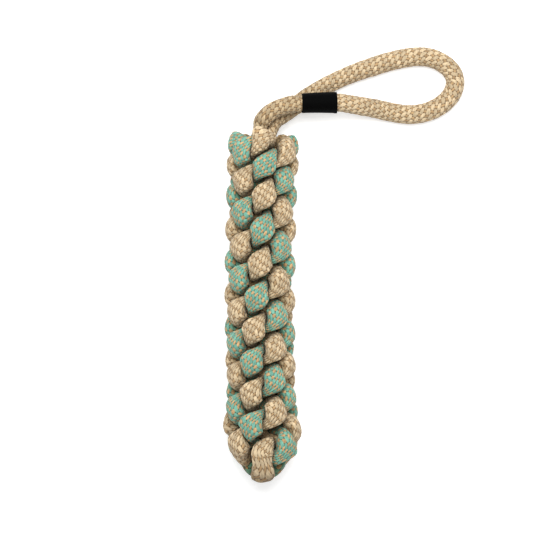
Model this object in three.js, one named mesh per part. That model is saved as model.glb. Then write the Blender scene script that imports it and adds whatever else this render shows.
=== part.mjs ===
// Rope dog toy: a chew stick plaited as a four-strand round crown sinnet, with a hand loop at one end.
// Two braided ropes make the whole toy. The tan rope's middle is the hand loop and its two ends are two
// of the strands. The teal rope is folded in half under the loop and gives the other two strands.
// The toy lies on its side: the stick runs along Y, the crown end is at +Y, and the surface is Z = 0.

import * as THREE from 'three';

// Driving dimensions, in millimetres, degrees, shares and counts
const ropeDiameter = 12;
const stickDiameter = 47;
const roundCount = 21;
const roundPitch = 10.4;
const turnPerRound = 135;
const firstBumpAngle = 5;
const stickBow = 2.4;
const handleReach = 125;

// How far a strand swings inwards, along and round the stick between two bumps, and a bump's section
const inwardSwing = 5;
const lengthwiseSwing = 4.7;
const sidewaysSwing = 17;
const sidewaysCurl = 5.5;
const bumpDepth = 12.8;
const bumpWidth = 16;

// The hand-made plait isn't even. Its first rounds are pulled tight by a share of a round, it is twisted
// further along the middle of the stick, and its bumps lie lower on the handle's side.
const crownTight = 0.43;
const tightRounds = 2.5;
const tightFade = [0.2, 0.55];
const stickTwist = 25;
const twistStretch = [0.2, 0.85];
const plaitSkew = 2;
const skewMiddle = 0.6;
const skewFade = 0.8;

// Room left between two ropes, and between two stretches of one rope
const strandGap = 1.6;
const jointGap = 0.3;

// The strands' tails at the foot of the stick
const tailTaper = 0.4;
const tailTuck = 3;
const tailLead = 0.1;

// The label and its thread
const labelLength = 22.5;
const labelThickness = 0.6;
const labelLap = 6;
const labelEase = 0.4;
const labelSeamAngle = 45;
const labelFrom = 25;
const threadDiameter = 0.5;
const threadStitches = 7;
const threadWave = 0.6;
const threadMargin = 1.5;

// Where the crown's middle lies, so that the whole toy is centred on the origin
const crownX = -52.9;
const crownY = 79;

// How finely the ropes are faceted
const stepsPerRound = 9;
const strandSides = 8;
const handleSides = 10;
const handleStep = 7;
const labelSides = 20;
const labelSteps = 4;
const threadSegments = 3;
const neighbourSteps = 32;
const finePerPoint = 60;

// Sizes that follow from those above
const ropeRadius = ropeDiameter / 2;
const restFlat = ropeDiameter / 10;
const axisHeight = stickDiameter / 2 - restFlat;
const bumpRadius = stickDiameter / 2 - bumpDepth / 2;
const strandRadius = bumpRadius - inwardSwing;
const lastRound = roundCount - 1;
const floorHandle = ropeRadius - restFlat;
const squashSharpness = 6;
const leastRoom = ropeRadius / 8;

// A strand's ends in rounds. Its rings lie at half steps, so that two of them stand beside each crest.
const plaitStart = -2.5 / stepsPerRound;
const plaitLead = -1.5 / stepsPerRound;
const plaitEnd = lastRound + 3.5 / stepsPerRound;
const tailFrom = lastRound + tailLead;

const tan = new THREE.MeshStandardMaterial({ color: 0xd3b48c, roughness: 0.95, metalness: 0 });
const teal = new THREE.MeshStandardMaterial({ color: 0x5fae9c, roughness: 0.95, metalness: 0 });
const black = new THREE.MeshStandardMaterial({ color: 0x0b0b0c, roughness: 0.7, metalness: 0 });

// The stick's own axis at a distance down from the first round, with its slight sideways bow
function axisPoint(down) {
  const share = down / (roundPitch * lastRound);
  const bow = stickBow * Math.sin(Math.PI * THREE.MathUtils.clamp(share, 0, 1));
  return new THREE.Vector3(crownX - bow, crownY - down, axisHeight);
}

// Outward direction round the stick: angle 0 faces up, and a positive angle turns towards +X
function outward(angle) {
  return new THREE.Vector3(Math.sin(angle), 0, Math.cos(angle));
}

// A share that rises smoothly from 0 to 1 between two places, and one that falls
const rising = THREE.MathUtils.smoothstep;
const falling = (at, from, to) => 1 - rising(at, from, to);

// Middle line of one strand. Each whole number of rounds is the crest of a bump on the outside; between
// two bumps the strand runs back and inwards, across the stick, under its neighbours.
function plaitPoint(strand, round) {
  const share = round / lastRound;
  const phase = 2 * Math.PI * round;
  const radius = strandRadius + inwardSwing * Math.cos(phase);
  const sideways = sidewaysSwing * Math.sin(phase) - sidewaysCurl * Math.sin(2 * phase);
  const twist = turnPerRound * round + stickTwist * rising(share, ...twistStretch);
  const angle = THREE.MathUtils.degToRad(firstBumpAngle + 90 * strand - twist + sideways);
  const skewed = rising(round, 0, skewFade) * falling(round, lastRound - 2 * skewFade, lastRound - skewFade);
  const skew = plaitSkew * (Math.sin(angle) - skewMiddle) * skewed;
  const tight = crownTight * rising(round, 0, tightRounds) * falling(share, ...tightFade);
  const tuck = tailTuck * rising(round, lastRound, plaitEnd);
  const down = roundPitch * (round - tight) + lengthwiseSwing * Math.sin(phase) + skew - tuck;
  return axisPoint(down).addScaledVector(outward(angle), radius);
}

// The handle's route, from the crown out through the label, round the loop, and back under the label.
// Each point is given from the crown's middle: across, along the stick away from it, and height.
const frontLeg = [
  [-1, 11, 25.5],
  [1.5, 14.8, 27],
  [6.2, 18.6, 26.5],
  [12, 21.2, 24.5],
  [18.5, 23.2, 22.6],
  [25, 24.2, 21.2],
  [37, 24.7, 20.6],
  [48.5, 24.6, 19.8],
  [56.5, 23.6, 17],
  [63.5, 22.6, 13],
  [70.5, 21.6, 9],
];
const loopRoute = [
  [77, 20.2, 6.2],
  [85, 18.6, 5],
  [93, 17.4, floorHandle],
  [101, 17.7, floorHandle],
  [109, 19.7, floorHandle],
  [116.5, 23.8, floorHandle],
  [122.1, 29.2, floorHandle],
  [125, 35.6, floorHandle],
  [125, 41.2, floorHandle],
  [122.1, 46.8, floorHandle],
  [116.5, 51.3, floorHandle],
  [109, 54.5, floorHandle],
  [101, 55.2, floorHandle],
  [93, 54.4, floorHandle],
  [85, 52.7, floorHandle],
  [77, 50.5, floorHandle],
];
const rearLeg = [
  [70.5, 48.3, floorHandle],
  [64, 46.1, floorHandle],
  [57, 43.5, floorHandle],
  [49.5, 40.3, floorHandle],
  [44, 37.6, floorHandle],
  [38.5, 34.8, 5],
  [33.5, 31.8, 5.4],
  [28, 28.3, 6.4],
  [20, 22.2, 9.4],
  [12.2, 16, 14],
  [7, 11.5, 17.6],
];

// The route is stretched across, so that the loop's far end lies at the handle's reach
const routeReach = Math.max(...loopRoute.map(([across]) => across));
function fromCrown([across, along, height]) {
  return new THREE.Vector3(crownX + (across * handleReach) / routeReach, crownY + along, height);
}

const frontStrand = 0;
const rightStrand = 1;
const backStrand = 2;
const leftStrand = 3;

// One curve for the whole free part of the tan rope, and one for the teal rope's hidden fold
const handlePoints = [
  plaitPoint(backStrand, plaitLead),
  plaitPoint(backStrand, plaitStart),
  ...frontLeg.map(fromCrown),
  ...loopRoute.map(fromCrown),
  ...rearLeg.map(fromCrown),
  plaitPoint(frontStrand, plaitStart),
  plaitPoint(frontStrand, plaitLead),
];
const handleCurve = new THREE.CatmullRomCurve3(handlePoints);
const foldDown = -0.5 * roundPitch;
const foldCurve = new THREE.CatmullRomCurve3([
  plaitPoint(rightStrand, plaitLead),
  plaitPoint(rightStrand, plaitStart),
  axisPoint(foldDown),
  plaitPoint(leftStrand, plaitStart),
  plaitPoint(leftStrand, plaitLead),
]);

// Evenly spaced points on a curve between two of its own points, with a little trimmed off both ends
function stretchOf(curve, fromPoint, toPoint, step) {
  const last = curve.points.length - 1;
  const fine = [];
  const fineCount = finePerPoint * (toPoint - fromPoint);
  for (let i = 0; i <= fineCount; i += 1) {
    fine.push(curve.getPoint((fromPoint + (toPoint - fromPoint) * (i / fineCount)) / last));
  }
  return spaced(fine, step, jointGap / 2);
}

// Picks points at even distances along a fine run of points
function spaced(fine, step, trim) {
  const along = [0];
  for (let i = 1; i < fine.length; i += 1) {
    along.push(along[i - 1] + fine[i].distanceTo(fine[i - 1]));
  }
  const length = along[along.length - 1];
  const count = Math.max(2, Math.round((length - 2 * trim) / step));
  const picked = [];
  let at = 0;
  for (let i = 0; i <= count; i += 1) {
    const wanted = trim + (length - 2 * trim) * (i / count);
    while (at < along.length - 2 && along[at + 1] < wanted) {
      at += 1;
    }
    const share = (wanted - along[at]) / (along[at + 1] - along[at]);
    picked.push(fine[at].clone().lerp(fine[at + 1], share));
  }
  return picked;
}

// Rounds at which a strand is drawn, evenly spread from the crown to its tail
function strandRounds(perRound) {
  const count = Math.round((plaitEnd - plaitStart) * perRound);
  return Array.from({ length: count + 1 }, (_, i) => plaitStart + (plaitEnd - plaitStart) * (i / count));
}

function strandLine(strand, perRound) {
  return strandRounds(perRound).map((round) => plaitPoint(strand, round));
}

// Fine middle lines of both ropes from tail to tail, against which each stretch's room is measured
const frontLegEnd = 1 + frontLeg.length;
const loopEnd = frontLegEnd + loopRoute.length + 1;
const rearLegEnd = loopEnd + rearLeg.length;
const fineStep = 1.2;
const tanRope = [
  ...strandLine(backStrand, neighbourSteps).reverse(),
  ...stretchOf(handleCurve, 1, frontLegEnd, fineStep),
  ...stretchOf(handleCurve, frontLegEnd, rearLegEnd, fineStep),
  ...strandLine(frontStrand, neighbourSteps),
];
const tealRope = [
  ...strandLine(rightStrand, neighbourSteps).reverse(),
  ...stretchOf(foldCurve, 1, 3, fineStep),
  ...strandLine(leftStrand, neighbourSteps),
];

// The label makes the front leg thicker there, so its neighbours keep further off
const labelBuild = 2 * (labelThickness + labelEase);
const labelLeft = crownX + labelFrom;
const labelled = ({ x, z }) => x > labelLeft && x < labelLeft + labelLength && z > 2 * ropeRadius;

// Every other stretch of rope that lies near a point, seen from that point. Points of its own rope
// that lie close along the rope are the same stretch, and don't count.
const ownStretch = 0.5 * ropeDiameter;
const reach = 2.2 * ropeDiameter;
function neighboursOf(point, ownRope) {
  const found = [];
  for (const rope of [tanRope, tealRope]) {
    let nearest = 0;
    rope.forEach((other, i) => {
      if (other.distanceToSquared(point) < rope[nearest].distanceToSquared(point)) nearest = i;
    });
    const isOwn = new Set();
    if (rope === ownRope) {
      for (const way of [-1, 1]) {
        let walked = 0;
        for (let i = nearest; rope[i] && walked < ownStretch; i += way) {
          isOwn.add(i);
          if (rope[i + way]) walked += rope[i].distanceTo(rope[i + way]);
        }
      }
    }
    rope.forEach((other, i) => {
      const distance = other.distanceTo(point);
      if (distance < reach && !isOwn.has(i)) {
        found.push({ away: other.clone().sub(point), distance, build: labelled(other) ? labelBuild : 0 });
      }
    });
  }
  return found;
}

// How far a rope can swell in one direction before it meets the half-way plane to a neighbour
function roomTowards(direction, neighbours) {
  let room = reach;
  for (const { away, distance, build } of neighbours) {
    const ahead = away.dot(direction);
    if (ahead > 0.02 * distance) {
      room = Math.min(room, ((distance - build) * distance) / (2 * ahead));
    }
  }
  return Math.max(room - strandGap / 2, leastRoom);
}

// Directions across a rope at each of its points, the first one turned to face outwards or upwards.
// The ends are cut square to the given directions, so that two stretches of one rope meet face to face.
function framesAlong(points, facing, startDirection, endDirection) {
  const last = points.length - 1;
  return points.map((point, i) => {
    let tangent = points[Math.min(i + 1, last)].clone().sub(points[Math.max(i - 1, 0)]).normalize();
    if (i === 0 && startDirection) tangent = startDirection;
    if (i === last && endDirection) tangent = endDirection;
    const side = facing(point);
    side.addScaledVector(tangent, -side.dot(tangent)).normalize();
    return { side, up: tangent.clone().cross(side) };
  });
}

const facingUp = () => new THREE.Vector3(0, 0, 1);
const facingOut = (point) => point.clone().sub(axisPoint(crownY - point.y)).setY(0).normalize();

// A closed skin over rings of points, with a point at the middle of each end
function skinOver(rings) {
  const sides = rings[0].length;
  const positions = rings.flat().flatMap((p) => [p.x, p.y, p.z]);
  const faces = [];
  for (let i = 0; i < rings.length - 1; i += 1) {
    for (let k = 0; k < sides; k += 1) {
      const a = i * sides + k;
      const b = i * sides + ((k + 1) % sides);
      faces.push(a, b, a + sides, b, b + sides, a + sides);
    }
  }
  const first = rings.length * sides;
  const lastRing = (rings.length - 1) * sides;
  for (const ring of [rings[0], rings[rings.length - 1]]) {
    const middle = ring.reduce((sum, p) => sum.add(p), new THREE.Vector3()).divideScalar(sides);
    positions.push(middle.x, middle.y, middle.z);
  }
  for (let k = 0; k < sides; k += 1) {
    const next = (k + 1) % sides;
    faces.push(first, next, k);
    faces.push(first + 1, lastRing + k, lastRing + next);
  }
  return closedGeometry(positions, faces);
}

function closedGeometry(positions, faces) {
  const geometry = new THREE.BufferGeometry();
  geometry.setAttribute('position', new THREE.Float32BufferAttribute(positions, 3));
  geometry.setIndex(faces);
  geometry.computeVertexNormals();
  return geometry;
}

// Rings of a rope that swells to its free size, is squashed where another rope presses on it,
// and is flattened where it lies on the surface
function ropeRings(points, ownRope, sides, freeSize, facing, startDirection, endDirection) {
  return framesAlong(points, facing, startDirection, endDirection).map(({ side, up }, i) => {
    const neighbours = neighboursOf(points[i], ownRope);
    return Array.from({ length: sides }, (_, k) => {
      const turn = (2 * Math.PI * (k + 0.5)) / sides;
      const direction = side.clone().multiplyScalar(Math.cos(turn)).addScaledVector(up, Math.sin(turn));
      const room = roomTowards(direction, neighbours);
      const free = freeSize(direction, i);
      const size = (room ** -squashSharpness + free ** -squashSharpness) ** (-1 / squashSharpness);
      const place = points[i].clone().addScaledVector(direction, size);
      place.z = Math.max(place.z, 0);
      return place;
    });
  });
}

const roundSize = () => ropeRadius;

// Direction of a curve at one of its own points
function directionAt(curve, index) {
  return curve.getTangent(index / (curve.points.length - 1));
}

// A strand leaves the crown round, is pressed flat against the stick along the plait, and tapers
// into its tail, which is tucked inside the last round
function strandRings(strand, ownRope, startDirection) {
  const rounds = strandRounds(stepsPerRound);
  const points = rounds.map((round) => plaitPoint(strand, round));
  points[0].addScaledVector(startDirection, jointGap / 2);
  const plaitedSize = (direction, i) => {
    const out = direction.dot(facingOut(points[i]));
    const pressed = 1 / Math.hypot(out / (bumpDepth / 2), Math.sqrt(1 - out * out) / (bumpWidth / 2));
    const plaited = THREE.MathUtils.smoothstep(rounds[i], plaitStart, 0);
    const tail = THREE.MathUtils.smoothstep(rounds[i], tailFrom, plaitEnd);
    return THREE.MathUtils.lerp(ropeRadius, pressed, plaited) * (1 - tailTaper * tail);
  };
  return ropeRings(points, ownRope, strandSides, plaitedSize, facingOut, startDirection);
}

const handleLast = handlePoints.length - 1;
const frontStrandRings = strandRings(frontStrand, tanRope, directionAt(handleCurve, handleLast - 1));
const backStrandRings = strandRings(backStrand, tanRope, directionAt(handleCurve, 1).negate());
const rightStrandRings = strandRings(rightStrand, tealRope, directionAt(foldCurve, 1).negate());
const leftStrandRings = strandRings(leftStrand, tealRope, directionAt(foldCurve, 3));

// The least gap between turns of a strand, measured between its ring points a round or more apart
function leastGap(rings) {
  let least = Infinity;
  rings.forEach((ring, i) => {
    for (const later of rings.slice(i + stepsPerRound, i + 3 * stepsPerRound)) {
      for (const p of ring) {
        for (const q of later) least = Math.min(least, p.distanceTo(q));
      }
    }
  });
  return least;
}
const allStrands = [frontStrandRings, rightStrandRings, backStrandRings, leftStrandRings];
console.log('least gap between turns of a strand, mm:', Math.min(...allStrands.map(leastGap)).toFixed(2));

function namedMesh(name, geometry, material) {
  const mesh = new THREE.Mesh(geometry, material);
  mesh.name = name;
  return mesh;
}

const stick = new THREE.Group();
stick.add(namedMesh('strand_tan_front', skinOver(frontStrandRings), tan));
stick.add(namedMesh('strand_teal_right', skinOver(rightStrandRings), teal));
stick.add(namedMesh('strand_tan_back', skinOver(backStrandRings), tan));
stick.add(namedMesh('strand_teal_left', skinOver(leftStrandRings), teal));

// A round stretch of rope between two points of its curve
function ropeStretch(name, curve, ownRope, fromPoint, toPoint, step, material) {
  const points = stretchOf(curve, fromPoint, toPoint, step);
  const cutAt = [directionAt(curve, fromPoint), directionAt(curve, toPoint)];
  const rings = ropeRings(points, ownRope, handleSides, roundSize, facingUp, ...cutAt);
  return namedMesh(name, skinOver(rings), material);
}
const legStep = handleStep / 2;
stick.add(ropeStretch('teal_fold', foldCurve, tealRope, 1, 3, legStep, teal));

const neck = new THREE.Group();
neck.add(ropeStretch('neck_leg_front', handleCurve, tanRope, 1, frontLegEnd, legStep, tan));
neck.add(ropeStretch('neck_leg_rear', handleCurve, tanRope, loopEnd, rearLegEnd, legStep, tan));

const loop = new THREE.Group();
loop.add(ropeStretch('handle_loop', handleCurve, tanRope, frontLegEnd, loopEnd, handleStep, tan));

// The label is a ribbon wrapped once round the front leg, with its end lapped over its start
// on the underside. Its middle line is the rope's own.
const frontLegLine = stretchOf(handleCurve, 1, frontLegEnd, fineStep / 4);
function frontLegAt(x) {
  return frontLegLine.reduce((best, p) => (Math.abs(p.x - x) < Math.abs(best.x - x) ? p : best));
}

// A point at an angle round the label from its seam and at a distance from the rope's middle
const seamTilt = THREE.MathUtils.degToRad(labelSeamAngle);
const seamSide = new THREE.Vector3(0, -Math.cos(seamTilt), -Math.sin(seamTilt));
function roundLabel(x, turned, distance) {
  const direction = frontLegAt(x + fineStep).clone().sub(frontLegAt(x - fineStep)).normalize();
  const out = seamSide.clone().addScaledVector(direction, -seamSide.dot(direction)).normalize();
  const up = direction.cross(out);
  return frontLegAt(x).clone()
    .addScaledVector(out, distance * Math.cos(turned))
    .addScaledVector(up, distance * Math.sin(turned));
}

const labelInner = ropeRadius + labelEase;
const lapAngle = labelLap / labelInner;
const lapLift = labelThickness + labelEase / 2;
const ribbon = Array.from({ length: labelSides + 1 }, (_, k) => {
  const turned = ((2 * Math.PI + lapAngle) * k) / labelSides - lapAngle / 2;
  const over = THREE.MathUtils.smoothstep(turned, 2 * Math.PI - 1.4 * lapAngle, 2 * Math.PI - 0.6 * lapAngle);
  return { turned, inside: labelInner + lapLift * over };
});
const labelRings = Array.from({ length: labelSteps + 1 }, (_, i) => {
  const x = labelLeft + (labelLength * i) / labelSteps;
  return [
    ...ribbon.map(({ turned, inside }) => roundLabel(x, turned, inside + labelThickness)),
    ...ribbon.map(({ turned, inside }) => roundLabel(x, turned, inside)).reverse(),
  ];
});

// The ribbon's ends are flat, so each end is filled between its inner and outer edge
function ribbonSkin(rings) {
  const count = rings[0].length;
  const positions = rings.flat().flatMap((p) => [p.x, p.y, p.z]);
  const faces = [];
  const lastRing = (rings.length - 1) * count;
  for (let i = 0; i < rings.length - 1; i += 1) {
    for (let k = 0; k < count; k += 1) {
      const a = i * count + k;
      const b = i * count + ((k + 1) % count);
      faces.push(a, b, a + count, b, b + count, a + count);
    }
  }
  for (let k = 0; k < count / 2 - 1; k += 1) {
    const [a, b, c, d] = [k, k + 1, count - 2 - k, count - 1 - k];
    faces.push(a, c, b, a, d, c);
    faces.push(lastRing + a, lastRing + b, lastRing + c, lastRing + a, lastRing + c, lastRing + d);
  }
  return closedGeometry(positions, faces);
}
neck.add(namedMesh('label_band', ribbonSkin(labelRings), black));

// One thread sews the lap down, waving to and fro along it
const threadRadius = threadDiameter / 2;
const threadOut = labelInner + lapLift + labelThickness + labelEase / 2 + threadRadius;
const threadSteps = 4 * threadStitches;
const threadRun = labelLength - 2 * threadMargin;
const threadPoints = Array.from({ length: threadSteps + 1 }, (_, i) => {
  const x = labelLeft + threadMargin + (threadRun * i) / threadSteps;
  const sway = (threadWave / threadOut) * Math.sin((Math.PI * i) / 2);
  return roundLabel(x, sway, threadOut);
});
const threadSection = new THREE.Shape().absarc(0, 0, threadRadius, 0, 2 * Math.PI);
const threadGeometry = new THREE.ExtrudeGeometry(threadSection, {
  steps: threadSteps,
  curveSegments: threadSegments,
  bevelEnabled: false,
  extrudePath: new THREE.CatmullRomCurve3(threadPoints),
});
neck.add(namedMesh('label_thread', threadGeometry, black));

const toy = new THREE.Group();
toy.add(stick, neck, loop);

export default toy;
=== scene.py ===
import math

import bpy
import numpy as np
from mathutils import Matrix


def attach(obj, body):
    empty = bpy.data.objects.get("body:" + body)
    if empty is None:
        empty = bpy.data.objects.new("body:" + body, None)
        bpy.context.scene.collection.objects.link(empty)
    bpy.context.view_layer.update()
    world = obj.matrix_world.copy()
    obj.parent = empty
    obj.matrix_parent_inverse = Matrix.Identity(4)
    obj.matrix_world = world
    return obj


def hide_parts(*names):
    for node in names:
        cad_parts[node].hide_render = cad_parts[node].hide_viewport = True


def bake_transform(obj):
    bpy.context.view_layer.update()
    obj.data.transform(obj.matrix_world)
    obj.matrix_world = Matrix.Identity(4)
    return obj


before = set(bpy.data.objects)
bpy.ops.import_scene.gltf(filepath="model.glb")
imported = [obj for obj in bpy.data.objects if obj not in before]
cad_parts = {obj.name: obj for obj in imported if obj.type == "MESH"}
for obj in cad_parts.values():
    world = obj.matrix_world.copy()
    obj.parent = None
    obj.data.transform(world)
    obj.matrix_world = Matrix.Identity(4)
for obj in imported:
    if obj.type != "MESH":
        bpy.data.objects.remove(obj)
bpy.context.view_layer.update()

# Camera: the photograph looks straight down on the toy, which lies on its side with the crown end at
# the top of the picture. The lens is long, so the picture is nearly flat.
picture_width = 0.3465
picture_middle = (-0.0510, -0.0032)
axis_height = 0.0223
camera_data = bpy.data.cameras.new("camera")
camera_data.lens = 240
camera_data.sensor_width = 36
camera_height = axis_height + picture_width * camera_data.lens / camera_data.sensor_width
camera = bpy.data.objects.new("camera", camera_data)
camera.location = (*picture_middle, camera_height)
bpy.context.collection.objects.link(camera)
bpy.context.scene.camera = camera
bpy.context.scene.view_settings.view_transform = "Standard"

# Both ropes: soft braided cotton of 12 mm. The tan rope's middle is the hand loop, and its two ends are
# plaited with the two halves of the teal rope into a round crown sinnet, which is the stick. Each rope
# is one line from tail to tail, so that its braid runs on through every stretch cut from it.
rope_radius = 0.006
crown = np.array([-0.0529, 0.0790])
round_count = 21
last_round = round_count - 1
round_pitch = 0.0104
turn_per_round = 135
first_bump_angle = 5
stick_twist = 25
foot_twist = 20
stick_bow = 0.0024
plait_skew = 0.002
plait_spread = 3
# How far a strand swings in each round: outward, along the stick, and sideways in degrees
strand_radius = 0.0113
inward_swing = 0.0082
inward_curl = 0.0016
lengthwise_swing = 0.0045
sideways_swing = 16.5
sideways_curl = 3
# How a strand is pressed: flat and wide on a bump, narrower beside it, and filling the inside
bump_depth = 0.0108
bump_width = 0.0225
bump_shoulder = 0.55
core_fill = 0.8
core_press = 0.0014
crest_push = 0.35
# How the first rounds, at the crown, differ from the others. Tuples run over the strands, from the
# front one round to the left one, but the leans are those at the first bump and after it
crown_tight = 0.0052
crown_tuck = 0.0085
crown_pull = 0.006
crown_lean = (12, 6)
crown_turn = 8
crown_flare = 0.0012
crown_drop = (0.0010, 0.0047, 0.0005, 0.0030)
# How the last rounds, at the foot, differ, and how the tails are tucked in there
foot_flare = 0.0028
tail_tuck = (0.010, 0.0082, 0.0062, 0.0082)
tail_pull = (0.005, 0.008, 0.003, 0.008)
tail_round = 0.006
tail_straight = 0.5
# The rounds at which a strand starts, is led in, rises to its first bump, and ends
plait_start = -2.5 / 9
plait_lead = -1.5 / 9
first_crest = -1.4 / 9
plait_end = last_round + 3.5 / 9
# The rounds over which each of these comes in or goes out
crown_flare_in, crown_flare_out = (0.4, 0.8), (1.2, 2.4)
foot_flare_in = (last_round - 3.4, last_round - 2.4)
tight_in, tight_out = (0, 2.5), (4, 11)
lean_change, lean_out = (0.25, 0.75), (2, 5)
stick_twist_in = (4, 17)
foot_twist_in = (last_round - 2.2, last_round - 0.8)
crown_turn_out = (0.2, 0.9)
crown_drop_out = (0, 0.9)
skew_in, skew_out = (6, 9.5), (last_round - 1.8, last_round - 0.6)
skew_middle = 0.6
tail_in = (last_round - 0.7, last_round + 0.1)


def smoothstep(value, low, high):
    share = np.clip((value - low) / (high - low), 0, 1)
    return share * share * (3 - 2 * share)


def axis_points(down):
    bow = stick_bow * np.sin(np.pi * np.clip(down / (round_pitch * last_round), 0, 1))
    return np.stack([crown[0] - bow, crown[1] - down, np.full_like(down, axis_height)], axis=-1)


def plait_points(strand, rounds):
    """A strand's middle line: a bump at each whole round, and a dive inside between two bumps."""
    rounds = np.asarray(rounds, float)
    phase = 2 * np.pi * rounds
    at_crown = smoothstep(-rounds, 0, -plait_start)
    at_foot = smoothstep(rounds, *tail_in)
    radius = strand_radius + inward_swing * np.cos(phase) - inward_curl * np.cos(2 * phase)
    flare = crown_flare * smoothstep(rounds, *crown_flare_in) * (1 - smoothstep(rounds, *crown_flare_out))
    flare = flare + foot_flare * smoothstep(rounds, *foot_flare_in)
    radius = radius + flare - crown_pull * at_crown - tail_pull[strand] * at_foot
    tight = crown_tight * smoothstep(rounds, *tight_in) * (1 - smoothstep(rounds, *tight_out))
    down = round_pitch * rounds + lengthwise_swing * np.sin(phase) - tight
    down = down + crown_tuck * at_crown - tail_tuck[strand] * at_foot
    past_first = smoothstep(rounds, *lean_change)
    swing = sideways_swing - crown_lean[0] * (1 - past_first)
    swing = swing - crown_lean[1] * past_first * (1 - smoothstep(rounds, *lean_out))
    sideways = swing * np.sin(phase) - sideways_curl * np.sin(2 * phase)
    twist = stick_twist * smoothstep(rounds, *stick_twist_in)
    twist = twist - foot_twist * smoothstep(rounds, *foot_twist_in)
    twist = twist + crown_turn * (1 - smoothstep(rounds, *crown_turn_out))
    turned = turn_per_round * (rounds - tail_straight * np.maximum(rounds - last_round, 0))
    angle = np.radians(first_bump_angle + 90 * strand - turned - twist + sideways)
    angle = angle + math.radians(plait_spread) * np.sin(2 * angle)
    skewed = smoothstep(rounds, *skew_in) * (1 - smoothstep(rounds, *skew_out))
    down = down + plait_skew * (np.sin(angle) - skew_middle) * skewed
    down = down + crown_drop[strand] * (1 - smoothstep(rounds, *crown_drop_out))
    outward = np.stack([np.sin(angle), np.zeros_like(angle), np.cos(angle)], axis=-1)
    return axis_points(down) + radius[..., None] * outward


# The hand loop's route from the crown out through the label, round, and back under the label:
# across and along from the crown's middle, and height
front_leg = [
    (-0.0010, 0.0110, 0.0255),
    (0.0015, 0.0148, 0.0270),
    (0.0062, 0.0186, 0.0265),
    (0.0120, 0.0212, 0.0245),
    (0.0185, 0.0232, 0.0226),
    (0.0250, 0.0242, 0.0212),
    (0.0370, 0.0247, 0.0206),
    (0.0485, 0.0246, 0.0198),
    (0.0565, 0.0236, 0.0170),
    (0.0635, 0.0226, 0.0130),
    (0.0705, 0.0216, 0.0090),
]
loop_route = [
    (0.0770, 0.0202, 0.0062),
    (0.0850, 0.0186, 0.0050),
    (0.0930, 0.0174, 0.0048),
    (0.1010, 0.0177, 0.0048),
    (0.1090, 0.0197, 0.0048),
    (0.1165, 0.0238, 0.0048),
    (0.1221, 0.0292, 0.0048),
    (0.1250, 0.0356, 0.0048),
    (0.1250, 0.0412, 0.0048),
    (0.1221, 0.0468, 0.0048),
    (0.1165, 0.0513, 0.0048),
    (0.1090, 0.0545, 0.0048),
    (0.1010, 0.0552, 0.0048),
    (0.0930, 0.0544, 0.0048),
    (0.0850, 0.0527, 0.0048),
    (0.0770, 0.0505, 0.0048),
]
rear_leg = [
    (0.0705, 0.0483, 0.0048),
    (0.0640, 0.0461, 0.0048),
    (0.0570, 0.0435, 0.0048),
    (0.0495, 0.0403, 0.0048),
    (0.0440, 0.0376, 0.0048),
    (0.0385, 0.0348, 0.0050),
    (0.0335, 0.0318, 0.0054),
    (0.0280, 0.0283, 0.0064),
    (0.0200, 0.0222, 0.0094),
    (0.0122, 0.0160, 0.0140),
    (0.0070, 0.0115, 0.0176),
]


curve_steps = 40


def curve_through(points):
    """Points of a centripetal Catmull-Rom curve through all the given points but the first and last."""
    points = np.asarray(points, float)
    share = np.linspace(0, 1, curve_steps, endpoint=False)[:, None]
    spans = []
    for before, start, end, after in zip(points, points[1:], points[2:], points[3:]):
        steps = (start - before, end - start, after - end)
        knot = [np.sqrt(np.linalg.norm(step)) for step in steps]
        leave = steps[0] / knot[0] - (end - before) / (knot[0] + knot[1]) + steps[1] / knot[1]
        arrive = steps[1] / knot[1] - (after - start) / (knot[1] + knot[2]) + steps[2] / knot[2]
        leave, arrive = leave * knot[1], arrive * knot[1]
        square = 3 * (end - start) - 2 * leave - arrive
        cube = 2 * (start - end) + leave + arrive
        spans.append(start + leave * share + square * share**2 + cube * share**3)
    return np.concatenate([*spans, points[-2:-1]])


front_strand, right_strand, back_strand, left_strand = 0, 1, 2, 3
strand_points = 1400
fold_height = 0.2
strand_rounds = np.linspace(plait_start, plait_end, strand_points)
crown_height = np.array([*crown, 0])
handle_ends = [plait_points(strand, [plait_lead, plait_start]) for strand in (back_strand, front_strand)]
handle_route = crown_height + np.array(front_leg + loop_route + rear_leg)
handle_line = curve_through([*handle_ends[0], *handle_route, *handle_ends[1][::-1]])
fold_top = axis_points(np.array([-fold_height * round_pitch]))
fold_ends = [plait_points(strand, [plait_lead, plait_start]) for strand in (right_strand, left_strand)]
fold_line = curve_through([*fold_ends[0], *fold_top, *fold_ends[1][::-1]])

rope_step = 0.00068
row_length = 0.0041
rows_out = 1.5 * rope_radius


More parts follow.
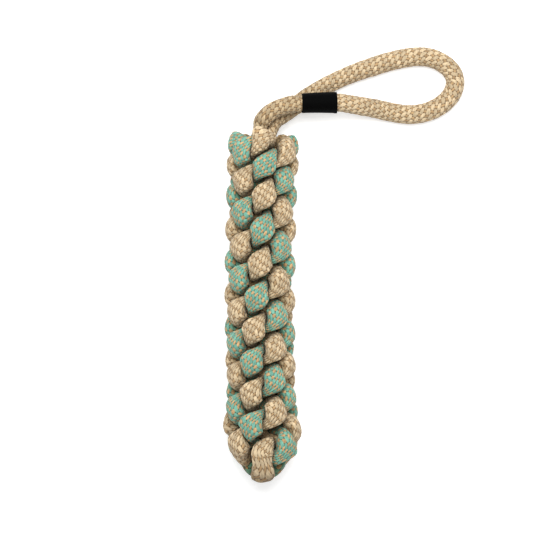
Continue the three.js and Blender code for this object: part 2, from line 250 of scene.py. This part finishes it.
def rope_from(first_strand, middle_line, last_strand):
    """One rope from tail to tail at even steps: its points, how far each is along it, its round in the
    plait and its row in the braid. The rows are even on the plait's outer side, where they are seen."""
    first = plait_points(first_strand, strand_rounds)[::-1]
    last = plait_points(last_strand, strand_rounds)
    points = np.concatenate([first, middle_line[1:-1], last])
    middle_rounds = np.full(len(middle_line) - 2, plait_start)
    rounds = np.concatenate([strand_rounds[::-1], middle_rounds, strand_rounds])
    along = np.concatenate([[0], np.cumsum(np.linalg.norm(np.diff(points, axis=0), axis=1))])
    even = np.linspace(0, along[-1], int(along[-1] / rope_step))
    line = np.stack([np.interp(even, along, points[:, axis]) for axis in range(3)], axis=-1)
    tangents = np.gradient(line, axis=0)
    tangents /= np.linalg.norm(tangents, axis=1)[:, None]
    sides = np.empty_like(line)
    side = np.cross(tangents[0], [0, 1, 0])
    for i, tangent in enumerate(tangents):
        side = side - tangent * (side @ tangent)
        side = side / np.linalg.norm(side)
        sides[i] = side
    joints = np.searchsorted(even, [along[len(first) - 1], along[len(first) + len(middle_line) - 2]])
    rounds = np.interp(even, along, rounds)
    outward = line - axis_points(crown[1] - line[:, 1])
    outward /= np.linalg.norm(outward, axis=1)[:, None]
    outer = line + rows_out * smoothstep(rounds, plait_start, 0)[:, None] * outward
    rows = np.concatenate([[0], np.cumsum(np.linalg.norm(np.diff(outer, axis=0), axis=1))]) / row_length
    beside = np.cross(tangents, sides)
    outer_angle = np.arctan2(np.sum(outward * beside, axis=1), np.sum(outward * sides, axis=1))
    return {
        "line": line,
        "along": even,
        "rounds": rounds,
        "crests": 0.5 + 0.5 * np.cos(2 * np.pi * rounds) * smoothstep(rounds, first_crest, 0),
        "rows": rows,
        "outer": outer_angle / (2 * np.pi),
        "tangents": tangents,
        "sides": sides,
        "joints": [int(joint) for joint in joints],
    }


tan_rope = rope_from(back_strand, handle_line, front_strand)
teal_rope = rope_from(right_strand, fold_line, left_strand)

# Where the label binds the front leg, the leg below it keeps further off, and the leg itself is squeezed
label_left = crown[0] + 0.025
label_length = 0.0225
label_thickness = 0.0005
label_ease = 0.0001
label_squeeze = (0.0005, -0.0001)
squeeze_in, squeeze_out = (-0.4, 0), (1, 2)
# A rope's free radius, how close another one must be to press on it, and how dark the painted shade in its
# creases is
free_radius = 0.0064
strand_gap = 0.0003
own_stretch = rope_radius
reach = 4.4 * rope_radius
rope_sides = 64
squash_sharpness = 2.7
contact_shade_room = (0.4, 1.0)
deep_shade_depth = (0.011, 0.019)
neck_shade = 0.4
neighbour_stride = 2
least_room = rope_radius / 8
least_ahead = 0.02


def rope_free(point):
    """The rope's own radius: it is fullest in the loop, and squeezed in and beside the label."""
    from_label = (point[0] - label_left) / label_length
    past_label = smoothstep(from_label, *squeeze_out)
    full = rope_radius + (free_radius - rope_radius) * past_label
    bound = smoothstep(from_label, *squeeze_in) * (1 - past_label) * (point[2] > 2 * rope_radius)
    return full - bound * np.interp(from_label, (0, 1), label_squeeze)


def rope_sizes(rope, first, last):
    """How far the rope swells in each direction, and how much painted shade darkens it in creases. It is
    round where it lies free, pressed to an oval on the plait, and stops about half-way to any other rope
    it presses on."""
    turn = 2 * np.pi * np.arange(rope_sides) / rope_sides
    sizes, directions, painted_shades = [], [], []
    for i in range(first, last + 1):
        point, tangent, side = rope["line"][i], rope["tangents"][i], rope["sides"][i]
        direction = np.cos(turn)[:, None] * side + np.sin(turn)[:, None] * np.cross(tangent, side)
        room = np.full(rope_sides, reach)
        crest = rope["crests"][i]
        for other in (tan_rope, teal_rope):
            line = other["line"][::neighbour_stride]
            away = line - point
            distance = np.linalg.norm(away, axis=1)
            near = distance < reach
            if other is rope:
                near &= np.abs(other["along"][::neighbour_stride] - rope["along"][i]) > own_stretch
            away, distance = away[near], distance[near]
            if len(away) == 0:
                continue
            held = (line[near, 0] > label_left) & (line[near, 0] < label_left + label_length)
            build = 2 * (label_thickness + label_ease) * (held & (line[near, 2] > 2 * rope_radius))
            ahead = direction @ away.T
            # A bump's crest takes more of the room than a strand that dives beside it
            share = 0.5 + crest_push * (crest - other["crests"][::neighbour_stride][near])
            limit = share * (distance - build) * distance / np.maximum(ahead, least_ahead * distance)
            room = np.minimum(room, limit.min(axis=1))
        outward = point - axis_points(np.array([crown[1] - point[1]]))[0]
        outward[1] = 0
        outward_length = np.linalg.norm(outward)
        out = np.clip(direction @ (outward / outward_length), -1, 1)
        plaited = smoothstep(rope["rounds"][i], plait_start, 0)
        # Inside the stick the strands sink into one another a little, which leaves no slit between them
        pressed = core_press * plaited * np.maximum(-out, 0)
        room = np.maximum(room - strand_gap / 2 + pressed, least_room)
        oval = 1 / np.hypot(out / (bump_depth / 2), np.sqrt(1 - out**2) / (bump_width / 2))
        filled = core_fill * np.maximum(np.maximum(-out, 0), (1 - crest) ** 3)
        # A strand is widest on its crest and narrower beside it, but not on its tail
        tail = smoothstep(rope["rounds"][i], last_round, plait_end)
        oval = oval * (1 - (1 - tail) ** 2 * bump_shoulder * 4 * crest * (1 - crest) + filled)
        free = rope_free(point) + (oval - rope_radius) * plaited
        size = (room**-squash_sharpness + free**-squash_sharpness) ** (-1 / squash_sharpness)
        from_end = min(rope["along"][i], rope["along"][-1] - rope["along"][i])
        rounded = 1 - (1 - min((from_end + rope_step) / tail_round, 1)) ** 2
        sizes.append(size * math.sqrt(rounded))
        directions.append(direction)
        # Painted shade: it is darker where it is pressed on, deep inside the stick, and a little where it
        # leaves the crown
        in_neck = (1 - plaited) * smoothstep(label_left + label_length - point[0], 0, label_length)
        contact_shade = 1 - smoothstep(room / free, *contact_shade_room)
        deep_shade = plaited * (1 - smoothstep(outward_length + size * out, *deep_shade_depth))
        painted_shades.append(np.maximum(np.maximum(contact_shade, deep_shade), neck_shade * in_neck))
    return np.array(sizes), np.array(directions), np.array(painted_shades)


# The cover is a plain braid of 20 yarns: 10 thick main yarns lean one way and 10 thin accent yarns the
# other, each over one and under one. They crowd together on the outer side of the plait. The same
# height drives the mesh and, finer, the material.
yarns = 10
yarn_crowding = 0.4
yarn_twist = 0.45
yarn_relief = 0.00045
yarn_wander = 0.06
side_wander, length_wander = (1.9, 2.7), (2.3, 1.4)
main_crown = 0.5
accent_crown = 0.42
yarn_lift = 0.5


def braid_height(around, along, main_width, accent_width):
    main, accent = around + along, around - along
    main_yarn, accent_yarn = np.round(main), np.round(accent)
    main_top = main_crown * (1 - ((main - main_yarn) / main_width) ** 2)
    accent_top = accent_crown * (1 - ((accent - accent_yarn) / accent_width) ** 2)
    main_top = main_top - yarn_lift * np.cos(np.pi * (main_yarn + accent))
    accent_top = accent_top + yarn_lift * np.cos(np.pi * (accent_yarn + main))
    return np.clip(np.maximum(main_top, accent_top), 0, 1)


def wandering(around, along):
    """Yarns of a soft braid don't lie quite evenly: each wanders a little to and fro."""
    turn = 2 * np.pi * around / yarns
    sidewise = np.sin(2 * turn + side_wander[0] * along) + np.sin(3 * turn - side_wander[1] * along)
    lengthwise = np.sin(2 * turn - length_wander[0] * along) + np.sin(4 * turn + length_wander[1] * along)
    return around + yarn_wander * sidewise, along + yarn_wander * lengthwise


def rope_piece(name, rope, first, last, material, yarn_widths):
    """A closed stretch of rope with its yarns standing out, and the braid's map on it."""
    sizes, directions, painted_shades = rope_sizes(rope, first, last)
    count = last - first + 1
    rows = rope["rows"][first : last + 1]
    twist = yarn_twist * rope["along"][first : last + 1] * yarns / (2 * np.pi * rope_radius)
    turn = np.arange(rope_sides + 1) / rope_sides
    lean = 2 * np.pi * (turn - rope["outer"][first : last + 1, None])
    crowding = yarn_crowding * smoothstep(rope["rounds"][first : last + 1, None], plait_start, 0)
    around = yarns * (turn + crowding * np.sin(lean) / (2 * np.pi)) + twist[:, None]
    around, rows = wandering(around, np.broadcast_to(rows[:, None], around.shape))
    height = braid_height(around[:, :-1], rows[:, :-1], *yarn_widths)
    sizes = sizes - yarn_relief * (1 - height)
    rings = rope["line"][first : last + 1, None] + sizes[..., None] * directions
    rings[..., 2] = np.maximum(rings[..., 2], 0)
    vertices = np.concatenate([rings.reshape(-1, 3), rings[[0, -1]].mean(axis=1)])
    ring, place = np.meshgrid(np.arange(count - 1), np.arange(rope_sides), indexing="ij")
    after = (place + 1) % rope_sides
    quads = np.stack([ring * rope_sides + place, ring * rope_sides + after], axis=-1)
    quads = np.concatenate([quads, quads[..., ::-1] + rope_sides], axis=-1).reshape(-1, 4)
    start, end = count * rope_sides, count * rope_sides + 1
    tail = (count - 1) * rope_sides
    edges = [(a, (a + 1) % rope_sides) for a in range(rope_sides)]
    caps = [(start, b, a) for a, b in edges] + [(end, tail + a, tail + b) for a, b in edges]
    mesh = bpy.data.meshes.new(name)
    mesh.from_pydata(vertices.tolist(), [], quads.tolist() + caps)
    braid_map = mesh.uv_layers.new(name="braid")
    places = np.stack([around, rows], axis=-1)
    corners = [places[ring, place], places[ring, place + 1]]
    corners += [places[ring + 1, place + 1], places[ring + 1, place]]
    corners = np.stack(corners, axis=-2).reshape(-1)
    cap_corners = np.zeros(2 * 3 * len(caps))
    braid_map.data.foreach_set("uv", np.concatenate([corners, cap_corners]).astype(np.float32))
    # The painted shade in creases, deep in the stick and at the neck goes on the mesh for the material
    painted_shade = mesh.attributes.new("painted_shade", "FLOAT", "POINT")
    painted_shade.data.foreach_set("value", np.concatenate([painted_shades.reshape(-1), [1, 1]]).astype(np.float32))
    mesh.shade_smooth()
    mesh.materials.append(material)
    piece = bpy.data.objects.new(name, mesh)
    bpy.context.collection.objects.link(piece)
    return piece


def linear(red, green, blue):
    """A colour given as it looks on the screen, from 0 to 255."""
    share = np.array([red, green, blue]) / 255
    return (*np.where(share <= 0.04045, share / 12.92, ((share + 0.055) / 1.055) ** 2.4), 1.0)


class Nodes:
    """Short calls for adding and joining shader nodes in one tree."""

    def __init__(self, tree):
        self.tree = tree

    def add(self, kind, **values):
        node = self.tree.nodes.new(kind)
        for key, value in values.items():
            setattr(node, key, value)
        return node

    def feed(self, socket, value):
        if isinstance(value, bpy.types.NodeSocket):
            self.tree.links.new(value, socket)
        else:
            socket.default_value = value

    def math(self, operation, *values):
        node = self.add("ShaderNodeMath", operation=operation)
        for socket, value in zip(node.inputs, values):
            self.feed(socket, value)
        return node.outputs[0]

    def between(self, value, low, high, to_low=0.0, to_high=1.0):
        node = self.add("ShaderNodeMapRange", interpolation_type="SMOOTHSTEP")
        for socket, given in zip(node.inputs, (value, low, high, to_low, to_high)):
            self.feed(socket, given)
        return node.outputs[0]

    def mix(self, share, first, second):
        node = self.add("ShaderNodeMix", data_type="FLOAT")
        for socket, value in zip(node.inputs[:1] + node.inputs[2:4], (share, first, second)):
            self.feed(socket, value)
        return node.outputs[0]

    def blend(self, share, first, second, kind="MIX"):
        node = self.add("ShaderNodeMix", data_type="RGBA", blend_type=kind)
        for socket, value in zip(node.inputs[:1] + node.inputs[6:8], (share, first, second)):
            self.feed(socket, value)
        return node.outputs[2]

    def vector(self, *values):
        node = self.add("ShaderNodeCombineXYZ")
        for socket, value in zip(node.inputs, values):
            self.feed(socket, value)
        return node.outputs[0]

    def noise(self, vector, scale, detail=2.0):
        node = self.add("ShaderNodeTexNoise")
        self.feed(node.inputs["Vector"], vector)
        self.feed(node.inputs["Scale"], scale)
        self.feed(node.inputs["Detail"], detail)
        return node.outputs[0]


yarn_edge = 0.06
fibre_across, fibre_along = 3.6, 1.7


def braid_group():
    """The braid's pattern: which yarn is on top, how high it stands, its own tint and its fibres."""
    tree = bpy.data.node_groups.new("braid", "ShaderNodeTree")
    for name in ("Main Width", "Accent Width"):
        tree.interface.new_socket(name, in_out="INPUT", socket_type="NodeSocketFloat")
    for name in ("Accent", "Height", "Tint", "Fibre"):
        tree.interface.new_socket(name, in_out="OUTPUT", socket_type="NodeSocketFloat")
    n = Nodes(tree)
    main_width, accent_width = n.add("NodeGroupInput").outputs[:2]
    places = n.add("ShaderNodeSeparateXYZ")
    n.feed(places.inputs[0], n.add("ShaderNodeUVMap", uv_map="braid").outputs[0])
    around, along = places.outputs[0], places.outputs[1]
    main, accent = n.math("ADD", around, along), n.math("SUBTRACT", around, along)

    def yarn_top(own, other, crown_height, width, lift):
        yarn = n.math("ROUND", own)
        off = n.math("DIVIDE", n.math("SUBTRACT", own, yarn), width)
        arch = n.math("MULTIPLY_ADD", n.math("MULTIPLY", off, off), -crown_height, crown_height)
        wave = n.math("COSINE", n.math("MULTIPLY", n.math("ADD", yarn, other), math.pi))
        return yarn, n.math("MULTIPLY_ADD", wave, lift, arch)

    main_yarn, main_top = yarn_top(main, accent, main_crown, main_width, -yarn_lift)
    accent_yarn, accent_top = yarn_top(accent, main, accent_crown, accent_width, yarn_lift)
    is_accent = n.between(n.math("SUBTRACT", accent_top, main_top), -yarn_edge, yarn_edge)
    height = n.math("MAXIMUM", n.math("MAXIMUM", main_top, accent_top), 0.0)

    def float_tint(yarn, other, shift):
        beyond = n.math("SUBTRACT", other, n.math("ADD", yarn, shift))
        place = n.math("ROUND", n.math("MULTIPLY", beyond, 0.5))
        tint = n.add("ShaderNodeTexWhiteNoise", noise_dimensions="2D")
        n.feed(tint.inputs["Vector"], n.vector(n.math("FLOORED_MODULO", yarn, yarns), place, 0.0))
        return tint.outputs["Value"]

    tint = n.mix(is_accent, float_tint(main_yarn, accent, 1.0), float_tint(accent_yarn, main, 0.0))
    across = n.math("MULTIPLY", n.mix(is_accent, main, accent), fibre_across)
    lengthwise = n.math("MULTIPLY", n.mix(is_accent, accent, main), fibre_along)
    fibre = n.noise(n.vector(across, lengthwise, 0.0), 1.0)
    out = n.add("NodeGroupOutput")
    for socket, value in zip(out.inputs, (is_accent, height, tint, fibre)):
        n.feed(socket, value)
    return tree


braid = braid_group()
tint_shade = (0.80, 1.08)
fibre_range = (0.3, 0.7)
fibre_shade = (0.74, 1.14)
fibre_roughness = (0.95, 0.75)
fibre_relief = 0.35
# How high between the yarns the painted gap shade reaches
gap_shade_edge = 0.45
# Tint of the painted shade in creases
painted_shade_tint = (0.50, 0.45, 0.35, 1)


def rope_material(name, yarn_widths, main_colour, accent_colour, painted_gap_shade):
    material = bpy.data.materials.new(name)
    material.use_nodes = True
    n = Nodes(material.node_tree)
    shader = material.node_tree.nodes["Principled BSDF"]
    pattern = n.add("ShaderNodeGroup", node_tree=braid)
    for socket, width in zip(pattern.inputs, yarn_widths):
        socket.default_value = width
    is_accent, height, tint, fibre = pattern.outputs
    colour = n.blend(is_accent, main_colour, accent_colour)
    yarn_shade = n.between(tint, 0.0, 1.0, *tint_shade)
    shade = n.math("MULTIPLY", yarn_shade, n.between(fibre, *fibre_range, *fibre_shade))
    colour = n.blend(1.0, colour, n.vector(shade, shade, shade), "MULTIPLY")
    # Painted shade: where the braid sinks low between the yarns, the colour turns to the dark gap shade
    colour = n.blend(n.between(height, 0.0, gap_shade_edge), painted_gap_shade, colour)
    # Painted shade: the colour darkens by this tint in creases, deep in the stick and at the neck
    painted_shade = n.add("ShaderNodeAttribute", attribute_name="painted_shade").outputs["Fac"]
    colour = n.blend(painted_shade, colour, n.blend(1.0, colour, painted_shade_tint, "MULTIPLY"))
    n.feed(shader.inputs["Base Color"], colour)
    n.feed(shader.inputs["Roughness"], n.between(fibre, *fibre_range, *fibre_roughness))
    shader.inputs["Specular IOR Level"].default_value = 0.25
    shader.inputs["Sheen Weight"].default_value = 0.15
    bump = n.add("ShaderNodeBump")
    bump.inputs["Strength"].default_value = 0.8
    bump.inputs["Distance"].default_value = 0.0005
    n.feed(bump.inputs["Height"], n.math("MULTIPLY_ADD", fibre, fibre_relief, height))
    n.feed(shader.inputs["Normal"], bump.outputs[0])
    return material


tan_widths, teal_widths = (0.68, 0.20), (0.60, 0.30)
# Each rope's main and accent colours, and the painted shade in the gaps between its yarns
tan_cotton = rope_material(
    "tan_cotton", tan_widths, linear(206, 184, 149), linear(178, 147, 107), linear(88, 62, 36)
)
teal_cotton = rope_material(
    "teal_cotton", teal_widths, linear(116, 171, 151), linear(193, 158, 113), linear(16, 36, 29)
)

# Hand loop: the free middle of the tan rope, lying on the surface. It bends up from the neck past the
# label, and both its ends run on into the neck's two legs.
tan_start, tan_end = tan_rope["joints"]
handle_along = np.concatenate([[0], np.cumsum(np.linalg.norm(np.diff(handle_line, axis=0), axis=1))])
handle_joints = [curve_steps * len(front_leg), curve_steps * (len(front_leg) + len(loop_route) + 1)]
loop_start, loop_end = (
    int(np.searchsorted(tan_rope["along"], tan_rope["along"][tan_start] + handle_along[joint]))
    for joint in handle_joints
)
loop = rope_piece("hand_loop", tan_rope, loop_start, loop_end, tan_cotton, tan_widths)
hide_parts("handle_loop")
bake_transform(loop)

# Neck legs: the same tan rope between the crown and the loop. The front leg carries the label and the rear
# one runs beneath it.
for leg_name, node, leg_first, leg_last in (
    ("front_leg", "neck_leg_front", tan_start, loop_start),
    ("rear_leg", "neck_leg_rear", loop_end, tan_end),
):
    leg = rope_piece(leg_name, tan_rope, leg_first, leg_last, tan_cotton, tan_widths)
    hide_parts(node)
    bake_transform(leg)

# Label: a black ribbon, woven and bare, wrapped once round the front leg and drawn tighter at the
# crown end. Its end is lapped over its start on the underside, where the thread sews it down, and a
# raised hem runs inside each of its edges.
label_lap = 0.006
lap_rise = (1.4, 0.6)
seam_tilt = math.radians(45)
hem_inset, hem_width, hem_rise = 0.0012, 0.0005, 0.0001
label_steps, label_sides = 60, 160
leg_line = tan_rope["line"][tan_start : loop_start + 1]
leg_line = leg_line[leg_line[:, 0] > label_left - rope_radius]


def leg_at(x):
    return np.stack([np.interp(x, leg_line[:, 0], leg_line[:, axis]) for axis in range(3)], axis=-1)


label_ends = leg_at(np.array([label_left, label_left + label_length]))
label_ahead = (label_ends[1] - label_ends[0]) / np.linalg.norm(label_ends[1] - label_ends[0])
seam_out = np.array([0, -math.cos(seam_tilt), -math.sin(seam_tilt)])
seam_out = seam_out - label_ahead * (seam_out @ label_ahead)
seam_out /= np.linalg.norm(seam_out)
seam_up = np.cross(label_ahead, seam_out)


def round_label(x, turned, distance):
    across = np.cos(turned)[..., None] * seam_out + np.sin(turned)[..., None] * seam_up
    return leg_at(x) + distance[..., None] * across


def label_inside(x):
    return rope_radius + label_ease - np.interp(x, label_ends[:, 0], label_squeeze)


lap_angle = label_lap / rope_radius
lap_lift = label_thickness + label_ease
turned = np.linspace(-lap_angle / 2, 2 * np.pi + lap_angle / 2, label_sides + 1)[:, None]
lapped = smoothstep(turned, *(2 * np.pi - rise * lap_angle for rise in lap_rise))
width_share = np.linspace(0, 1, label_steps + 1)
from_edge = label_length * np.minimum(width_share, 1 - width_share)
hem = hem_rise * np.exp(-(((from_edge - hem_inset) / hem_width) ** 2))
label_x = label_left + label_length * width_share
inside = label_inside(label_x) + lap_lift * lapped
outside = inside + label_thickness + hem
edge = label_thickness / 3
middle = label_inside(label_ends[:, 0]) + lap_lift * lapped + label_thickness / 2
loop_x = np.concatenate([label_x, [label_ends[1, 0] + edge], label_x[::-1], [label_ends[0, 0] - edge]])
loop_out = np.concatenate([outside, middle[:, 1:], inside[:, ::-1], middle[:, :1]], axis=1)
loop_x = np.broadcast_to(loop_x, loop_out.shape)
loop_turned = np.broadcast_to(turned, loop_out.shape)
loops = round_label(loop_x, loop_turned, loop_out)
per_loop = loops.shape[1]
lap_ends = loops[[0, -1]].mean(axis=1)
row, place = np.meshgrid(np.arange(label_sides), np.arange(per_loop), indexing="ij")
after = (place + 1) % per_loop
label_faces = np.stack([row * per_loop + place, row * per_loop + after], axis=-1)
label_faces = np.concatenate([label_faces, label_faces[..., ::-1] + per_loop], axis=-1)
label_faces = label_faces.reshape(-1, 4).tolist()
cap_start = loops.shape[0] * per_loop
cap_end = label_sides * per_loop
for a in range(per_loop):
    b = (a + 1) % per_loop
    label_faces.append((cap_start, b, a))
    label_faces.append((cap_start + 1, cap_end + a, cap_end + b))
label_mesh = bpy.data.meshes.new("label")
label_mesh.from_pydata(np.concatenate([loops.reshape(-1, 3), lap_ends]).tolist(), [], label_faces)
weave_map = label_mesh.uv_layers.new(name="weave")
vertex_places = np.stack([loop_turned * rope_radius, loop_x], axis=-1)
vertex_places = np.concatenate([vertex_places.reshape(-1, 2), np.zeros((2, 2))])
corner_vertices = np.empty(len(label_mesh.loops), np.int32)
label_mesh.loops.foreach_get("vertex_index", corner_vertices)
weave_map.data.foreach_set("uv", vertex_places[corner_vertices].astype(np.float32).reshape(-1))
label_mesh.shade_smooth()

ribbon = bpy.data.materials.new("black_ribbon")
ribbon.use_nodes = True
n = Nodes(ribbon.node_tree)
ribbon_shader = ribbon.node_tree.nodes["Principled BSDF"]
places = n.add("ShaderNodeSeparateXYZ")
n.feed(places.inputs[0], n.add("ShaderNodeUVMap", uv_map="weave").outputs[0])
ribbon_pitch = 0.00032
weave_shade = (0.6, 1.3)
patch_range = (0.3, 0.7)
patch_shade = (0.8, 1.25)
patch_roughness = (0.62, 0.78)
weft = n.math("MULTIPLY", places.outputs[0], math.pi / ribbon_pitch)
warp = n.math("MULTIPLY", places.outputs[1], math.pi / ribbon_pitch)
over = n.math("MULTIPLY", n.math("SINE", weft), n.math("SINE", warp))
weave = n.math("MULTIPLY_ADD", over, 0.5, 0.5)
patchy = n.noise(n.vector(places.outputs[0], places.outputs[1], 0.0), 900.0)
shade = n.between(weave, 0.0, 1.0, *weave_shade)
shade = n.math("MULTIPLY", shade, n.between(patchy, *patch_range, *patch_shade))
ribbon_colour = n.blend(1.0, linear(3, 3, 3), n.vector(shade, shade, shade), "MULTIPLY")
n.feed(ribbon_shader.inputs["Base Color"], ribbon_colour)
n.feed(ribbon_shader.inputs["Roughness"], n.between(patchy, *patch_range, *patch_roughness))
ribbon_shader.inputs["Specular IOR Level"].default_value = 0.03
weave_bump = n.add("ShaderNodeBump")
weave_bump.inputs["Strength"].default_value = 0.6
weave_bump.inputs["Distance"].default_value = 0.0001
n.feed(weave_bump.inputs["Height"], weave)
n.feed(ribbon_shader.inputs["Normal"], weave_bump.outputs[0])
label_mesh.materials.append(ribbon)
label = bpy.data.objects.new("label", label_mesh)
bpy.context.collection.objects.link(label)
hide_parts("label_band")
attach(label, "neck")

# Label thread: one black thread twisted from two plies. It sews the label's lap down, waving to and fro
# along it from edge to edge, and is drawn a little way into the ribbon.
thread_radius = 0.00025
thread_rise = 0.7
thread_stitches = 7
thread_wave = 0.0006
thread_margin = 0.0015
thread_steps, thread_sides = 560, 14
ply_turns = 60
ply_groove = 0.28
share = np.linspace(0, 1, thread_steps + 1)
thread_x = label_left + thread_margin + (label_length - 2 * thread_margin) * share
thread_out = label_inside(thread_x) + lap_lift + label_thickness + thread_rise * thread_radius
sway = thread_wave / thread_out * np.sin(2 * np.pi * thread_stitches * share)
thread_line = round_label(thread_x, sway, thread_out)
ahead = np.gradient(thread_line, axis=0)
ahead /= np.linalg.norm(ahead, axis=1)[:, None]
up = np.cos(sway)[:, None] * seam_out + np.sin(sway)[:, None] * seam_up
up = up - ahead * np.sum(up * ahead, axis=1)[:, None]
up /= np.linalg.norm(up, axis=1)[:, None]
beside = np.cross(ahead, up)
turn = 2 * np.pi * np.arange(thread_sides) / thread_sides
plies = np.abs(np.cos(turn[None, :] - 2 * np.pi * ply_turns * share[:, None]))
thickness = thread_radius * (1 - ply_groove + ply_groove * plies)
rings = np.cos(turn)[None, :, None] * up[:, None] + np.sin(turn)[None, :, None] * beside[:, None]
rings = thread_line[:, None] + thickness[..., None] * rings
thread_faces = []
for i in range(thread_steps):
    for a in range(thread_sides):
        b = (a + 1) % thread_sides
        low, high = i * thread_sides, (i + 1) * thread_sides
        thread_faces.append((low + a, low + b, high + b, high + a))
thread_faces.append(tuple(range(thread_sides))[::-1])
thread_faces.append(tuple(thread_steps * thread_sides + a for a in range(thread_sides)))
thread_mesh = bpy.data.meshes.new("label_thread_plied")
thread_mesh.from_pydata(rings.reshape(-1, 3).tolist(), [], thread_faces)
thread_mesh.shade_smooth()
black_thread = bpy.data.materials.new("black_thread")
black_thread.use_nodes = True
n = Nodes(black_thread.node_tree)
thread_shader = black_thread.node_tree.nodes["Principled BSDF"]
fuzz = n.noise(n.add("ShaderNodeTexCoord").outputs["Object"], 4000.0)
fuzz_range = (0.3, 0.7)
fuzz_shade = (0.7, 1.4)
fuzz_roughness = (0.55, 0.75)
shade = n.between(fuzz, *fuzz_range, *fuzz_shade)
thread_colour = n.blend(1.0, linear(10, 10, 11), n.vector(shade, shade, shade), "MULTIPLY")
n.feed(thread_shader.inputs["Base Color"], thread_colour)
n.feed(thread_shader.inputs["Roughness"], n.between(fuzz, *fuzz_range, *fuzz_roughness))
thread_mesh.materials.append(black_thread)
thread = bpy.data.objects.new("label_thread_plied", thread_mesh)
bpy.context.collection.objects.link(thread)
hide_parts("label_thread")
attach(thread, "neck")

# Strands of the stick: four rope ends, each laid over the next one in turn, round after round, so that
# every bump is held by its neighbours. Their tails are tucked into the foot.
teal_start, teal_end = teal_rope["joints"]
tan_look = (tan_cotton, tan_widths)
teal_look = (teal_cotton, teal_widths)
for strand_name, rope, strand_first, strand_last, look, slot in (
    ("strand_tan_back", tan_rope, 0, tan_start, tan_look, "tan_rope"),
    ("strand_tan_front", tan_rope, tan_end, len(tan_rope["line"]) - 1, tan_look, "tan_rope"),
    ("strand_teal_right", teal_rope, 0, teal_start, teal_look, "teal_rope"),
    ("teal_fold", teal_rope, teal_start, teal_end, teal_look, "teal_rope"),
    ("strand_teal_left", teal_rope, teal_end, len(teal_rope["line"]) - 1, teal_look, "teal_rope"),
):
    strand = rope_piece(strand_name + "_braid", rope, strand_first, strand_last, *look)
    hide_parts(strand_name)
    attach(strand, "stick")

# Surface and light: a white sweep under a broad soft light from the top of the picture, with light all
# round, so that the surface stays white and the toy throws only a faint shadow.
floor_mesh = bpy.data.meshes.new("surface")
floor_size = 4.0
floor_corners = [(x * floor_size, y * floor_size, 0) for x, y in ((-1, -1), (1, -1), (1, 1), (-1, 1))]
floor_mesh.from_pydata(floor_corners, [], [(0, 1, 2, 3)])
floor = bpy.data.objects.new("surface", floor_mesh)
bpy.context.collection.objects.link(floor)
paper = bpy.data.materials.new("paper")
paper.use_nodes = True
paper_shader = paper.node_tree.nodes["Principled BSDF"]
n = Nodes(paper.node_tree)


def seen_plainly(n):
    """Whether a ray comes straight from the camera, or by way of a mirror or glass."""
    rays = n.add("ShaderNodeLightPath").outputs
    mirrored = n.math("MAXIMUM", rays["Is Glossy Ray"], rays["Is Transmission Ray"])
    return n.math("MAXIMUM", rays["Is Camera Ray"], mirrored)


paper_glow = (0.4, 0.4, 0.4, 1)
n.feed(paper_shader.inputs["Emission Color"], n.blend(seen_plainly(n), (0, 0, 0, 1), paper_glow))
paper_shader.inputs["Emission Strength"].default_value = 1.0
paper_shader.inputs["Base Color"].default_value = (0.85, 0.85, 0.85, 1)
paper_shader.inputs["Roughness"].default_value = 1.0
paper_shader.inputs["Specular IOR Level"].default_value = 0.0
floor_mesh.materials.append(paper)

sky = bpy.data.worlds.new("sky")
bpy.context.scene.world = sky
sky.use_nodes = True
n = Nodes(sky.node_tree)
background = sky.node_tree.nodes["Background"]
background.inputs["Color"].default_value = (1, 1, 1, 1)
sky_light, sky_seen = 0.64, 1.0
n.feed(background.inputs["Strength"], n.mix(seen_plainly(n), sky_light, sky_seen))

key_data = bpy.data.lights.new("key", "AREA")
key_data.shape = "DISK"
key_data.size = 0.8
key_data.energy = 12
key = bpy.data.objects.new("key", key_data)
key.location = (-0.05, 0.43, 1.0)
key.rotation_euler = (math.radians(-23), 0, 0)
bpy.context.collection.objects.link(key)
